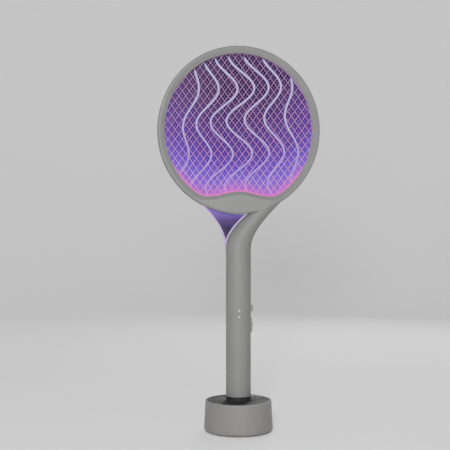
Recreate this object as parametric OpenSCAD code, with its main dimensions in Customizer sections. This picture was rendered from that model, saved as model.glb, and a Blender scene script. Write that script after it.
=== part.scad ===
// Electric fly swatter standing in its charging dock: an oval guarded grid on a curved neck and a
// round battery handle. Millimetres, +Z up, front towards -Y, origin at the floor under the dock.

/* [Head] */
// Outer width of the oval head
head_w = 219; // [205:1:236]
// Outer height of the oval head
head_h = 226; // [212:1:244]
// Height of the head's centre above the floor
head_z = 405.6; // [400:0.1:420]
// Depth of the head, front to back
head_d = 26; // [25:0.5:30]
// Width of the head's rim
rim_w = 10; // [9.5:0.1:12]
// Rounding of the rim's outer edge
rim_edge_r = 3.5; // [3:0.1:4]
// Width of the bevel that slopes back to the opening
bevel_w = 6; // [5:0.1:6]
// Depth that the bevel falls
bevel_drop = 3.4; // [2.5:0.1:4]
// Height of the wavy cover's middle hump above the rim
hump_h = 20.5; // [14:0.1:26]
// Half of the angle that the wavy cover spans
hump_span = 31; // [25:1:34]

/* [Guards and grid] */
// Width of a lattice diamond
cell_w = 9.5; // [9:0.5:14]
// Height of a lattice diamond
cell_h = 12.9; // [12:0.1:18]
// Width of a lattice bar
bar_w = 1.1; // [1:0.1:1.6]
// Thickness of a guard
guard_t = 1.2; // [1:0.1:1.3]
// Distance from the middle plane to a guard's inner face
guard_y = 5.1; // [5.1:0.1:5.3]
// Spacing of the high-voltage wires
wire_pitch = 3.2; // [2.8:0.1:5]
// Diameter of a high-voltage wire
wire_dia = 0.7; // [0.5:0.1:0.8]
// Number of flowing ribs on the front guard
rib_count = 7; // [5:1:8]
// Width of the light guide's lit edge inside the opening
lit_edge_w = 2; // [1:0.1:2.5]

/* [Neck and fin] */
// Height where the handle meets the neck
neck_z = 245; // [240:1:246]
// Thickness of the translucent fin
fin_t = 3.6; // [3:0.1:5]
// Width of the fin's light guides
fin_guide_w = 2; // [1.6:0.1:2.4]

/* [Handle] */
// Outer diameter of the handle
handle_dia = 34; // [33.6:0.1:35]
// Height of the handle's lower edge
handle_z = 47.3; // [47.3:0.1:48]
// Wall of every moulded shell
wall = 2; // [1.8:0.1:2]
// Diameter of the battery cell
cell_dia = 18.4; // [18:0.1:18.6]

/* [Controls] */
// Height of the zap button's centre
button_z = 165.5; // [165:0.5:170]
// Diameter of the zap button
button_dia = 8.6; // [7.5:0.1:9]
// How far the zap button stands out of the handle
button_proud = 3.4; // [2.5:0.1:4]
// Height of the zap button's domed end
button_dome = 2.2; // [1:0.1:2.6]
// Height of the mode slider's centre
slider_z = 143; // [142:0.5:143.5]
// Length of the mode slider
slider_len = 22; // [20:0.5:22.5]
// How far the mode slider moves each way
slider_travel = 3; // [2:0.1:3]

/* [Dock] */
// Diameter of the dock at its foot
dock_dia = 93; // [91:0.5:100]
// Diameter of the dock at its top
dock_top_dia = 89.5; // [88:0.5:90]
// Height of the dock's top edge
dock_h = 42.4; // [42:0.1:43]
// Outer diameter of the dark collar under the handle
collar_dia = 32.8; // [32.4:0.1:33]
// Diameter of the socket that takes the handle's foot
socket_dia = 30; // [29.8:0.1:30.2]

/* [Hidden] */

$fn = 64;
gap = 0.1;
big = 400;
face_y = head_d / 2;
handle_r = handle_dia / 2;
bore_r = handle_r - wall;
frame_step = 4;
frame_angles = [0 : frame_step : 359];
lip_t = 1.6;
guard_lap = 2.2;
insulator_w = 7.4;
head_screw_in = 5;
head_screw_angles = [18, 90, 162, 214, 270, 326];
head_screw_r = 1.1;
lamp_from = 232;
lamp_to = 308;

// Outlines of the neck and of the fin's free edge, in the head's plane
neck_left = [[-handle_r, neck_z], [-17, 262], [-8, 276], [16, 296]];
neck_right = [[handle_r, neck_z], [17, 266], [32, 286], [84, 334]];
fin_edge = [[-17.4, 241], [-18, 264], [-26, 282], [-52, 307]];
neck_end_depth = 12.4;
neck_steps = 20;

// Heights inside the dock, from the floor up
foot_t = 1;
bottom_plate_t = 2.4;
board_t = 1.6;
dock_board_z = 10;
socket_floor_z = 15.8;
pin_tip_z = 17.6;
pin_r = 1.5;
pin_x = 6;
cap_z = pin_tip_z + 0.3;
cap_r = socket_dia / 2 - 0.5;
dock_board_top = dock_board_z + board_t;
usb_z = dock_board_top + 1.7;
usb_y = 41.5;

// Heights inside the handle
cell_z = 57;
cell_len = 65;
board_z = 125;
board_len = 112;
board_w = 24;
board_y = 2;
stem_x = 9.9;
indicator_x = -0.5;
slider_crown_r = 41;
indicator_heights = [155, 163.6];
handle_screw_heights = [131, 232];
lug_z = 47;
lug_hole_x = 21.4;
lug_hole_r = 1;

function lerp(a, b, s) = a + (b - a) * s;
function smooth(s) = s * s * (3 - 2 * s);
function bezier(p, s) =
  pow(1 - s, 3) * p[0] + 3 * s * pow(1 - s, 2) * p[1] + 3 * s * s * (1 - s) * p[2] + pow(s, 3) * p[3];
function unit(v) = v / norm(v);
function polar(t, r) = r * [cos(t), sin(t)];

// Radius of the head's oval at angle t, s inside its outer edge
function oval_r(t, s) =
  let(a = head_w / 2 - s, b = head_h / 2 - s) a * b / norm([b * cos(t), a * sin(t)]);
// Share of the wavy cover's hump at angle t, 1 in its middle and 0 past its ends, with soft corners
function crest(t) = pow((1 + cos(180 * min(abs(t - 270) / hump_span, 1))) / 2, 0.7);
function hump(t) = (crest(t - 3) + 2 * crest(t) + crest(t + 3)) / 4;
function opening_r(t) = oval_r(t, rim_w) - hump_h * hump(t);
function opening(grow, angles = frame_angles) = [for (t = angles) polar(t, opening_r(t) + grow)];
function oval(s) = [for (t = frame_angles) polar(t, oval_r(t, s))];

// Outline of a strip of width w(s) along a curve's points
function strip(points, w0, w1) =
  let(n = len(points) - 1)
  let(side = [for (i = [0 : n]) let(d = unit(points[min(i + 1, n)] - points[max(i - 1, 0)])) [-d[1], d[0]]])
  concat(
    [for (i = [0 : n]) points[i] + side[i] * lerp(w0, w1, i / n) / 2],
    [for (i = [n : -1 : 0]) points[i] - side[i] * lerp(w0, w1, i / n) / 2]
  );
function curve(p, steps, from = 0, to = 1) = [for (i = [0 : steps]) bezier(p, lerp(from, to, i / steps))];

// Closes a row of equal sections into a solid; a loop joins its last section to its first
module skin(rows, loop = false) {
  n = len(rows[0]);
  m = len(rows);
  function at(i, j) = (i % m) * n + j % n;
  sides = [for (i = [0 : m - (loop ? 1 : 2)], j = [0 : n - 1], half = [0, 1])
    half == 0 ? [at(i, j), at(i, j + 1), at(i + 1, j + 1)] : [at(i, j), at(i + 1, j + 1), at(i + 1, j)]];
  caps = loop ? [] : [[for (j = [n - 1 : -1 : 0]) at(0, j)], [for (j = [0 : n - 1]) at(m - 1, j)]];
  polyhedron([for (row = rows) each row], concat(sides, caps), convexity = 8);
}

// A round wire along points, with a ring of 8 at each
module wire(points, r) {
  last = len(points) - 1;
  skin([for (i = [0 : last])
    let(d = unit(points[min(i + 1, last)] - points[max(i - 1, 0)]))
    let(u = unit(cross(d, [0.3, 1, 0.2])), v = cross(d, u))
    [for (k = [0 : 7]) points[i] + r * (u * cos(45 * k) - v * sin(45 * k))]]);
}

// Extrudes an outline drawn in X and Z from depth y0 to depth y1
module slab(y0, y1) translate([0, y1, 0]) rotate([90, 0, 0]) linear_extrude(y1 - y0) children();
// The same, with the outline centred on the head
module head_slab(y0, y1) translate([0, 0, head_z]) slab(y0, y1) children();
// A rod from depth y0 to depth y1
module rod_y(y0, y1, r) translate([0, y1, 0]) rotate([90, 0, 0]) cylinder(y1 - y0, r = r);
// A rod from x0 to x1, centred on height z
module rod_x(x0, x1, r, z, r_end = 0)
  translate([x0, 0, z]) rotate([0, 90, 0]) cylinder(x1 - x0, r1 = r, r2 = r_end > 0 ? r_end : r);
// A cylinder between two heights
module post(z0, z1, r) translate([0, 0, z0]) cylinder(z1 - z0, r = r);
// A box from one corner to the other
module block(low, high) translate(low) cube(high - low);
// A flat stadium in Y and Z that is w wide and len long, from x0 to x1
module stadium_x(x0, x1, w, len, z) translate([x0, 0, z]) rotate([0, 90, 0]) linear_extrude(x1 - x0)
  union() {
    square([len - w, w], center = true);
    for (e = [-1, 1]) translate([e * (len - w) / 2, 0]) circle(w / 2);
  }
module half_space(side) translate([-big, side < 0 ? -big : 0, -big]) cube([2 * big, big, 4 * big]);
module at_head_screws() for (t = head_screw_angles)
  let(p = polar(t, opening_r(t) + head_screw_in)) translate([p[0], 0, head_z + p[1]]) children();

// ---------- dock ----------
module dock_shell() color("gainsboro") {
  r0 = dock_dia / 2;
  r1 = dock_top_dia / 2;
  foot_r = 4.5;
  top_r = 1.2;
  difference() {
    rotate_extrude($fn = 96) polygon(concat(
      [[r0 - foot_r - 1, foot_t]],
      [for (a = [-90 : 15 : 0]) [r0 - foot_r + foot_r * cos(a), foot_t + foot_r + foot_r * sin(a)]],
      [for (a = [0 : 22.5 : 90]) [r1 - top_r + top_r * cos(a), dock_h - top_r + top_r * sin(a)]],
      [[r1 - 2.2, dock_h], [r1 - 2.2, dock_h - 3.2], [r1 - 3.4, dock_h - 3.2]],
      [[r0 - 3.2, foot_t + foot_r + 1], [r0 - foot_r - 1, foot_t + 3]]
    ));
    translate([0, 0, usb_z]) block([-6.2, 35, -3.5], [6.2, 60, 3.5]);
  }
}
module dock_top_plate() color("dimgray") difference() {
  rotate_extrude($fn = 96) polygon([
    [socket_dia / 2, socket_floor_z], [socket_dia / 2, handle_z - 0.3],
    [collar_dia / 2 - 0.5, handle_z - 0.3], [collar_dia / 2, handle_z - 0.8],
    [collar_dia / 2, dock_h - 0.3], [dock_top_dia / 2 - 2.3, dock_h - 0.3],
    [dock_top_dia / 2 - 2.3, dock_h - 3.1], [socket_dia / 2 + wall, dock_h - 3.1],
    [socket_dia / 2 + wall, socket_floor_z - wall], [0, socket_floor_z - wall], [0, socket_floor_z]
  ]);
  block([-10.1, -4.1, 5], [10.1, 4.1, socket_floor_z + 1]);
}
module dock_bottom_plate() color("slategray") difference() {
  post(foot_t, foot_t + bottom_plate_t, dock_dia / 2 - 5.7);
  for (a = [60, 180, 300]) rotate(a) translate([35, 0, 0]) cylinder(20, r = 1.6, center = true);
}
module dock_ballast_weight() color("darkgray") difference() {
  post(foot_t + bottom_plate_t + gap, 9.2, 40);
  post(0, 12, 12);
  for (a = [60, 180, 300]) rotate(a) translate([35, 0, 0]) cylinder(40, r = 3.6, center = true);
  block([-14, 24, 0], [14, 60, 20]);
}
module dock_circuit_board() color("seagreen") difference() {
  block([-20, -16, dock_board_z], [20, 36, dock_board_top]);
  for (side = [-1, 1]) translate([side * 16, 0, 0]) cylinder(40, r = 1.6, center = true);
}
module dock_usb_socket() color("silver") translate([0, 0, usb_z]) difference() {
  block([-4.5, usb_y - 8, -1.65], [4.5, usb_y, 1.65]);
  block([-4.1, usb_y - 6.5, -1.2], [4.1, 50, 1.2]);
}
module dock_contact_block() color("black") difference() {
  block([-10, -4, dock_board_top], [10, 4, socket_floor_z]);
  for (side = [-1, 1]) translate([side * pin_x, 0, 0]) {
    post(0, 30, pin_r + 0.05);
    post(0, socket_floor_z - 1, pin_r + 0.7);
  }
}
module contact_pin(side) color("gold") translate([side * pin_x, 0, 0]) union() {
  post(socket_floor_z - 1.1, pin_tip_z, pin_r);
  post(socket_floor_z - 1.9, socket_floor_z - 1.1, pin_r + 0.5);
}
module contact_pin_left() contact_pin(-1);
module contact_pin_right() contact_pin(1);
module pin_spring(side) color("silver") {
  turns = 3;
  z0 = dock_board_top + 0.3;
  z1 = socket_floor_z - 2.2;
  steps = 12 * turns;
  translate([side * pin_x, 0, 0])
    wire([for (i = [0 : steps]) [1.5 * cos(30 * i), 1.5 * sin(30 * i), lerp(z0, z1, i / steps)]], 0.25);
}
module pin_spring_left() pin_spring(-1);
module pin_spring_right() pin_spring(1);
module dock_feet() color("dimgray") for (a = [0 : 90 : 270])
  rotate(a + 45) translate([dock_dia / 2 - 11, 0, 0]) cylinder(foot_t - 0.02, r = 4.5);
module dock_screws() color("silver") for (a = [60, 180, 300]) rotate(a) translate([35, 0, 0]) {
  post(0.4, foot_t, 2.8);
  post(foot_t, 9, 1.3);
}

// ---------- handle ----------
module handle_tube() difference() {
  rotate_extrude($fn = 96) polygon([
    [bore_r, handle_z], [handle_r - 0.8, handle_z], [handle_r, handle_z + 0.8],
    [handle_r, neck_z], [bore_r, neck_z]
  ]);
  rod_x(10, 20, button_dia / 2 + 1.5, button_z);
  stadium_x(10, 20, 10.4, slider_len + 2 * slider_travel + 2.6, slider_z);
  rod_x(10, 20, 1.1, lug_z + 1.9);
}
module handle_front_shell() color("whitesmoke") difference() {
  intersection() {
    handle_tube();
    half_space(-1);
  }
  for (z = indicator_heights) translate([indicator_x, 0, z]) rod_y(-20, -10, 1.1);
}
module handle_rear_shell() color("whitesmoke") difference() {
  union() {
    intersection() {
      handle_tube();
      half_space(1);
    }
    for (z = handle_screw_heights) translate([0, 0, z]) rod_y(5, bore_r + 0.5, 3.6);
  }
  for (z = handle_screw_heights) translate([0, 0, z]) {
    rod_y(0, 20, 1.2);
    rod_y(13, 20, 2.5);
  }
}
module handle_end_cap() color("dimgray") difference() {
  rotate_extrude($fn = 96) polygon([
    [0, cap_z], [cap_r - 1, cap_z], [cap_r, cap_z + 1], [cap_r, handle_z], [bore_r - gap, handle_z],
    [bore_r - gap, handle_z + 7], [bore_r - wall, handle_z + 7], [cap_r - wall, handle_z - 1],
    [cap_r - wall, cap_z + wall], [0, cap_z + wall]
  ]);
  for (side = [-1, 1]) translate([side * pin_x, 0, 0]) post(0, 30, 2.6);
  rod_x(10, 20, 1.1, lug_z + 1.9);
}
module contact_pads() color("gold") for (side = [-1, 1])
  translate([side * pin_x, 0, 0]) post(cap_z, cap_z + wall + 0.6, 2.5);
module strap_lug() color("whitesmoke") difference() {
  union() {
    difference() {
      rod_x(handle_r - 1, 24, 2.55, lug_z, 1.8);
      post(0, 100, handle_r + 0.02);
    }
    rod_x(12.2, handle_r + 1, 1, lug_z + 1.9);
  }
  translate([lug_hole_x, 0, lug_z]) rod_y(-10, 10, lug_hole_r);
}
module battery_cell() color("royalblue") union() {
  post(cell_z, cell_z + cell_len - 1, cell_dia / 2);
  post(cell_z, cell_z + cell_len, 3.2);
}
module battery_contacts() color("silver") {
  block([-6, -4, cell_z - 0.7], [6, 4, cell_z - gap]);
  block([-6, -4, cell_z + cell_len + gap], [6, 4, cell_z + cell_len + 0.7]);
}
module main_circuit_board() color("seagreen") difference() {
  block([-board_w / 2, board_y, board_z], [board_w / 2, board_y + board_t, board_z + board_len]);
  for (z = handle_screw_heights) translate([0, 0, z]) rod_y(0, 20, 1.6);
  block([7.9, 0, button_z - 6.5], [20, 10, button_z + 6.5]);
}
module hv_transformer() color("khaki") union() {
  block([-8, -10.5, 178], [8, board_y - gap, 182]);
  block([-5.5, -8, 182], [5.5, board_y - 3, 192]);
  block([-8, -10.5, 192], [8, board_y - gap, 196]);
}
module hv_capacitor() color("chocolate") translate([0, -4.5, 0]) post(202, 219, 6);
module board_components() color("black") {
  for (x = [-7, -2.3, 2.3, 7]) translate([x, -0.4, 0]) post(221, 227.5, 1.6);
  block([-9.5, -0.6, 198], [-7.5, board_y - gap, 200.5]);
  block([-8, -1.2, 145.5], [-3, board_y - gap, 152.5]);
}
module tact_switch() color("black") block([3.5, -4, button_z - 3], [8, board_y - gap, button_z + 3]);
module slide_switch() color("silver")
  block([3.5, -3.5, slider_z - 6], [stem_x - 0.4, board_y - gap, slider_z + 6]);
module zap_button() color("whitesmoke") union() {
  r = button_dia / 2;
  tip = handle_r + button_proud;
  translate([0, 0, button_z]) rotate([0, 90, 0]) rotate_extrude() polygon(concat(
    [[0, stem_x], [2, stem_x], [2, 12], [r + 0.9, 12], [r + 0.9, 13], [r, 13]],
    [for (a = [0 : 10 : 80]) [r * cos(a), tip - button_dome + button_dome * sin(a)]],
    [[0, tip]]
  ));
}
module button_bezel() color("dimgray") intersection() {
  difference() {
    rod_x(14.9, 20, button_dia / 2 + 1.4, button_z);
    rod_x(10, 22, button_dia / 2 + 0.3, button_z);
  }
  post(0, 300, handle_r - gap);
}
module mode_slider() color("whitesmoke") union() {
  intersection() {
    stadium_x(15.5, handle_r + 2.1, 8, slider_len, slider_z);
    translate([handle_r + 2.1 - slider_crown_r, 0, slider_z]) rod_y(-10, 10, slider_crown_r, $fn = 180);
  }
  for (step = [-1 : 1]) translate([0, 0, slider_z + 1.6 * step])
    block([handle_r + 2, -3.2, -0.4], [handle_r + 2.6, 3.2, 0.4]);
  block([stem_x, -1.5, slider_z - 2], [15.6, 1.5, slider_z + 2]);
}
module slider_bezel() color("dimgray") intersection() {
  difference() {
    stadium_x(14.2, 20, 10.2, slider_len + 2 * slider_travel + 2.4, slider_z);
    stadium_x(15.1, 22, 8.6, slider_len + 2 * slider_travel + 0.8, slider_z);
    block([10, -1.9, slider_z - 5.6], [20, 1.9, slider_z + 5.6]);
  }
  post(0, 300, handle_r - gap);
}
module indicator_lenses() color("lightcyan") for (z = indicator_heights)
  translate([indicator_x, 0, z]) union() {
    rod_y(-handle_r - 0.05, -0.6, 1);
    rod_y(-14.6, -13.6, 1.7);
  }
module status_leds() color("lightcyan") for (z = indicator_heights)
  translate([indicator_x, 0, z]) rod_y(-0.5, board_y - gap, 1.5);
// A lead that leaves the board at x and follows the neck's middle line at depth y
module neck_wire(x, y) {
  middle = (neck_left + neck_right) / 2;
  wire(concat(
    [[x, board_y - 1, 229.5], [x, (board_y + y) / 2, 234]],
    [for (q = curve(middle, 12, 0, 0.78)) [q[0] + x, y, q[1]]]
  ), 0.8);
}
module hv_lead_wires() color("crimson") for (x = [-4, 0]) neck_wire(x, -2);
module lamp_lead_wires() color("royalblue") neck_wire(4, -5);
module handle_screws() color("silver") for (z = handle_screw_heights) translate([0, 0, z]) union() {
  rod_y(5, 13, 1.1);
  rod_y(13, 14.8, 2.3);
}

// ---------- neck ----------
// Half of the hollow neck, on the side of -Y or +Y, cut where the head begins
module neck_half(side) color("whitesmoke") difference() {
  arc = [0 : 15 : 180];
  skin([for (i = [0 : neck_steps])
    let(s = i / neck_steps, a = bezier(neck_left, s), b = bezier(neck_right, s))
    let(mid = (a + b) / 2, u = unit(b - a), w = norm(b - a) / 2)
    let(d = lerp(handle_r, neck_end_depth, smooth(s)))
    let(in_plane = function(t, k) mid + u * (w - k) * cos(t))
    let(at = function(t, k) [in_plane(t, k)[0], side * (d - k) * sin(t), in_plane(t, k)[1]])
    side < 0
      ? concat([for (t = arc) at(t, 0)], [for (t = [180 : -15 : 0]) at(t, wall)])
      : concat([for (t = [180 : -15 : 0]) at(t, 0)], [for (t = arc) at(t, wall)])]);
  head_slab(-big / 4, big / 4) polygon(oval(-gap));
}
module neck_front_shell() neck_half(-1);
module neck_rear_shell() neck_half(1);
module fin_outline() difference() {
  polygon(concat(curve(fin_edge, neck_steps), [[-20, 320], [20, 320]],
    [for (q = curve(neck_left, neck_steps, 1, 0)) q - [gap, 0]], [[-handle_r - gap, 241]]));
  translate([0, head_z]) polygon(oval(-gap));
}
module fin_outer_strip() polygon(strip(curve(fin_edge, 20, -0.02, 1.02), fin_guide_w, 2.6 * fin_guide_w));
module fin_inner_strip() polygon(strip(curve(neck_left, 20, 0.06, 1.02), 2 * fin_guide_w, 2 * fin_guide_w));
module fin_panel() color("mediumpurple") slab(-fin_t / 2, fin_t / 2) difference() {
  fin_outline();
  fin_outer_strip();
  fin_inner_strip();
}
module fin_outer_light_guide() color("lavender") slab(-fin_t / 2 - 0.6, fin_t / 2 + 0.6) intersection() {
  fin_outline();
  fin_outer_strip();
}
module fin_inner_light_guide() color("lavender") slab(-fin_t / 2 - 0.6, fin_t / 2 + 0.6) intersection() {
  fin_outline();
  difference() {
    fin_inner_strip();
    fin_outer_strip();
  }
}

// ---------- head ----------
// Section of a head frame at angle t as [radius, depth], from the split plane round the face and back
function frame_section(t) =
  let(outer = oval_r(t, 0), inner = opening_r(t), r = rim_edge_r, b = bevel_w - 1.2 * hump(t))
  concat(
    [[outer, gap]],
    [for (a = [0 : 22.5 : 90]) [outer - r + r * cos(a), face_y - r + r * sin(a)]],
    [[inner + b, face_y], [inner, face_y - bevel_drop], [inner, face_y - bevel_drop - lip_t]],
    [[inner + b, face_y - wall], [outer - r - 0.3, face_y - wall], [outer - wall, face_y - r - 0.3]],
    [[outer - wall, gap]]
  );
module head_frame(side) color("whitesmoke") difference() {
  translate([0, 0, head_z]) skin([for (t = frame_angles)
    [for (q = side < 0 ? frame_section(t) : [for (k = [12 : -1 : 0]) frame_section(t)[k]])
      [q[0] * cos(t), side * q[1], q[0] * sin(t)]]], loop = true);
  translate([36, 0, 305]) rotate([0, 50, 0]) cylinder(24, r = 9, center = true);
}
module head_front_frame() head_frame(-1);
module head_rear_frame() difference() {
  head_frame(1);
  at_head_screws() rod_y(5, 20, 2.5);
}
module lattice(shift = 0) {
  slope = atan(cell_h / cell_w);
  reach = ceil(norm([head_w, head_h * cell_w / cell_h]) / 2 / cell_w);
  intersection() {
    polygon(opening(1));
    for (s = [-1, 1], i = [-reach : reach])
      translate([i * cell_w + shift, 0]) rotate(s * slope) square([big, bar_w], center = true);
  }
  difference() {
    polygon(opening(guard_lap));
    polygon(opening(0));
  }
}
module front_guard() color("lightpink") head_slab(-guard_y - guard_t, -guard_y) lattice();
module rear_guard() color("lightpink") head_slab(guard_y, guard_y + guard_t) lattice(cell_w / 2);
// Centre line of rib i, a wave that runs down the head
function rib(i) = [for (k = [0 : 40])
  let(s = k / 40, share = i / (rib_count - 1))
  let(swing = (7 + 11 * sin(180 * share)) * sin(800 * s - 100 + 40 * share))
  [lerp(lerp(-54, -84, s), lerp(62, 80, s), share) + swing, lerp(98, -98, s)]];
module guard_ribs() color("thistle") head_slab(-guard_y - guard_t - 1.6, -guard_y - guard_t) intersection() {
  polygon([for (t = frame_angles) polar(t, opening_r(t) - lit_edge_w * lit(t) - 0.2)]);
  for (i = [0 : rib_count - 1]) polygon(strip(rib(i), 2.6, 1.7));
}
module insulator_ring() difference() {
  polygon(opening(insulator_w));
  polygon(opening(0));
  for (t = head_screw_angles)
    translate(polar(t, opening_r(t) + head_screw_in)) circle(head_screw_r + gap, $fn = 24);
}
module front_insulator_ring() color("silver") head_slab(-guard_y + gap, -0.5) insulator_ring();
module rear_insulator_ring() color("silver") union() {
  head_slab(0.5, guard_y - gap) insulator_ring();
  at_head_screws() difference() {
    rod_y(guard_y - gap, face_y - bevel_drop - 0.1, 2.5);
    rod_y(0, 20, head_screw_r + gap);
  }
}
module hv_grid_frame() color("darkgray") head_slab(-0.4, 0.4) difference() {
  polygon(opening(guard_lap));
  polygon(opening(0));
}
module hv_grid_wires() color("lightpink") for (i = [-30 : 30]) {
  x = i * wire_pitch;
  half = (head_h / 2 - rim_w) * sqrt(max(1 - pow(x / (head_w / 2 - rim_w), 2), 0)) - 1;
  low = -half + hump_h * hump(270 + atan(x / 95)) * 1.03;
  if (half > 30) translate([x, 0, head_z]) post(low, half, wire_dia / 2, $fn = 16);
}
// Share of the light guide's lit inner edge at angle t, 1 over the lamp and 0 on the upper half
function lit(t) = smooth(max(0, min(1, (75 - abs(t - 270)) / 25)));
module lamp_light_guide() color("orchid")
  head_slab(-face_y + bevel_drop + lip_t + gap, -guard_y - guard_t - gap) difference() {
    polygon(opening(3));
    polygon([for (t = frame_angles) polar(t, opening_r(t) - lit_edge_w * lit(t))]);
  }
module lamp_circuit_board() color("seagreen") {
  angles = [lamp_from : frame_step : lamp_to];
  head_slab(-7.7, -6.5) difference() {
    polygon(concat(
      [for (t = angles) polar(t, min(opening_r(t) + 9, oval_r(t, wall + 0.4)))],
      [for (t = [lamp_to : -frame_step : lamp_from]) polar(t, opening_r(t) + 4.4)]
    ));
    for (t = head_screw_angles) translate(polar(t, opening_r(t) + head_screw_in)) circle(3);
  }
}
module uv_leds() color("violet") for (t = [lamp_from + 6 : 10 : lamp_to - 4]) if (abs(t - 270) > 3)
  let(p = polar(t, opening_r(t) + 6)) translate([p[0], -8.3, head_z + p[1]]) rotate([0, 90 - t, 0])
    cube([3.5, 1, 2.8], center = true);
module head_screws() color("silver") at_head_screws() union() {
  rod_y(-4.5, face_y - bevel_drop - 0.1, head_screw_r);
  rod_y(face_y - bevel_drop - 0.1, face_y - bevel_drop + 1.6, 2.3);
}

dock_shell();
dock_top_plate();
dock_bottom_plate();
dock_ballast_weight();
dock_circuit_board();
dock_usb_socket();
dock_contact_block();
contact_pin_left();
contact_pin_right();
pin_spring_left();
pin_spring_right();
dock_feet();
dock_screws();
handle_front_shell();
handle_rear_shell();
handle_end_cap();
contact_pads();
strap_lug();
battery_cell();
battery_contacts();
main_circuit_board();
hv_transformer();
hv_capacitor();
board_components();
tact_switch();
slide_switch();
zap_button();
button_bezel();
mode_slider();
slider_bezel();
indicator_lenses();
status_leds();
hv_lead_wires();
lamp_lead_wires();
handle_screws();
neck_front_shell();
neck_rear_shell();
head_front_frame();
head_rear_frame();
front_guard();
guard_ribs();
front_insulator_ring();
hv_grid_frame();
hv_grid_wires();
rear_insulator_ring();
rear_guard();
lamp_light_guide();
lamp_circuit_board();
uv_leds();
head_screws();
fin_panel();
fin_outer_light_guide();
fin_inner_light_guide();
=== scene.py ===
"""Looks of the electric fly swatter on its charging dock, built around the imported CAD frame.

Lengths in the shape code are millimetres in the row frame: +Z up, the front towards -Y.
"""

import math

import bpy
import numpy as np
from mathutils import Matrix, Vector


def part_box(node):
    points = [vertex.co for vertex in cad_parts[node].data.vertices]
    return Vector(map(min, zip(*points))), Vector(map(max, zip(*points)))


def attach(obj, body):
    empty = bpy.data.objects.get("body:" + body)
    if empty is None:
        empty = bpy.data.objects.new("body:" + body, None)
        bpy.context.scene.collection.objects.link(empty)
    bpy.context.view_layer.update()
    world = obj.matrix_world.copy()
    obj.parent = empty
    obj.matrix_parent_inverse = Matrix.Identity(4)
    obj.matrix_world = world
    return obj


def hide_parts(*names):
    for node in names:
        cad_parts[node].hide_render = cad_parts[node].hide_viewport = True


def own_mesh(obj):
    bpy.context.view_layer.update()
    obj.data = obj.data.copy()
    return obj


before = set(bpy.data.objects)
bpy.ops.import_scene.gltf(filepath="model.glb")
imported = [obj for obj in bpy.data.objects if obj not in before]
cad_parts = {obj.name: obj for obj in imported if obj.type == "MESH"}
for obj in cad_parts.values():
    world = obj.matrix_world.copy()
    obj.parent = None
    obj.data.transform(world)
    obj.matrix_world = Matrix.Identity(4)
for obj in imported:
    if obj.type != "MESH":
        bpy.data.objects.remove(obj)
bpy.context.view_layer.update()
MM = 0.001


def box_mm(node):
    """A CAD node's lowest and highest corners, in millimetres."""
    low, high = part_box(node)
    return np.array(low) / MM, np.array(high) / MM


# ---------- sizes, read from the frame ----------
HEAD_LOW, HEAD_HIGH = box_mm("head_front_frame")
HEAD_Z = (HEAD_LOW[2] + HEAD_HIGH[2]) / 2
HEAD_A = (HEAD_HIGH[0] - HEAD_LOW[0]) / 2
HEAD_B = (HEAD_HIGH[2] - HEAD_LOW[2]) / 2
FACE_Y = -HEAD_LOW[1]
HANDLE_R = box_mm("handle_front_shell")[1][0]
NECK_Z = box_mm("handle_front_shell")[1][2]
GUARD_IN = -box_mm("front_guard")[1][1]
GUARD_OUT = -box_mm("front_guard")[0][1]
RIB_OUT = -box_mm("guard_ribs")[0][1]

# Proportions that the frame doesn't give
RIM_W = 10.0
EDGE_R = 3.5
BEVEL_W = 6.0
BEVEL_DROP = 3.4
WALL = 2.0
LIP_T = 1.6
HUMP_H = 20.5
HUMP_SPAN = 31.0
CELL_W = 9.5
CELL_H = 12.9
COARSE_Y = -2.6
SPLIT_GAP = 0.1
SCREW_HOLE_R = 2.5
NECK_LEFT = np.array([(-HANDLE_R, NECK_Z), (-17, 262), (-8, 276), (16, 296)])
NECK_RIGHT = np.array([(HANDLE_R, NECK_Z), (17, 266), (32, 286), (84, 334)])
NECK_END_DEPTH = 12.4
FIN_EDGE = np.array([(-17.4, 241), (-18, 264), (-26, 282), (-52, 307)])


# ---------- shape helpers ----------
def smooth(s):
    """A share from 0 to 1 with soft ends."""
    return s * s * (3 - 2 * s)


def bezier(p, s):
    """The point at s on the curve with four control points p."""
    rest = 1 - s
    return rest**3 * p[0] + 3 * s * rest**2 * p[1] + 3 * s * s * rest * p[2] + s**3 * p[3]


def unit(t):
    """Cosine and sine of t degrees."""
    return math.cos(math.radians(t)), math.sin(math.radians(t))


def oval_r(t, inset):
    """Radius of the head's oval at angle t, in degrees, inset from its outer edge."""
    a, b = HEAD_A - inset, HEAD_B - inset
    c, s = np.cos(np.radians(t)), np.sin(np.radians(t))
    return a * b / np.sqrt((b * c) ** 2 + (a * s) ** 2)


def crest(t):
    """Share of the hump at angle t before its corners are softened."""
    reach = np.minimum(np.abs(t - 270) / HUMP_SPAN, 1)
    return ((1 + np.cos(np.pi * reach)) / 2) ** 0.7


def hump(t):
    """Share of the wavy cover's hump at angle t, with soft corners."""
    return (crest(t - 3) + 2 * crest(t) + crest(t + 3)) / 4


def opening_r(t):
    """Radius of the head's opening at angle t."""
    return oval_r(t, RIM_W) - HUMP_H * hump(t)


def smooth_max(a, b, k):
    """The larger of a and b, blended over the width k."""
    h = np.maximum(k - np.abs(a - b), 0) / k
    return np.maximum(a, b) + h * h * k / 4


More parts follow.
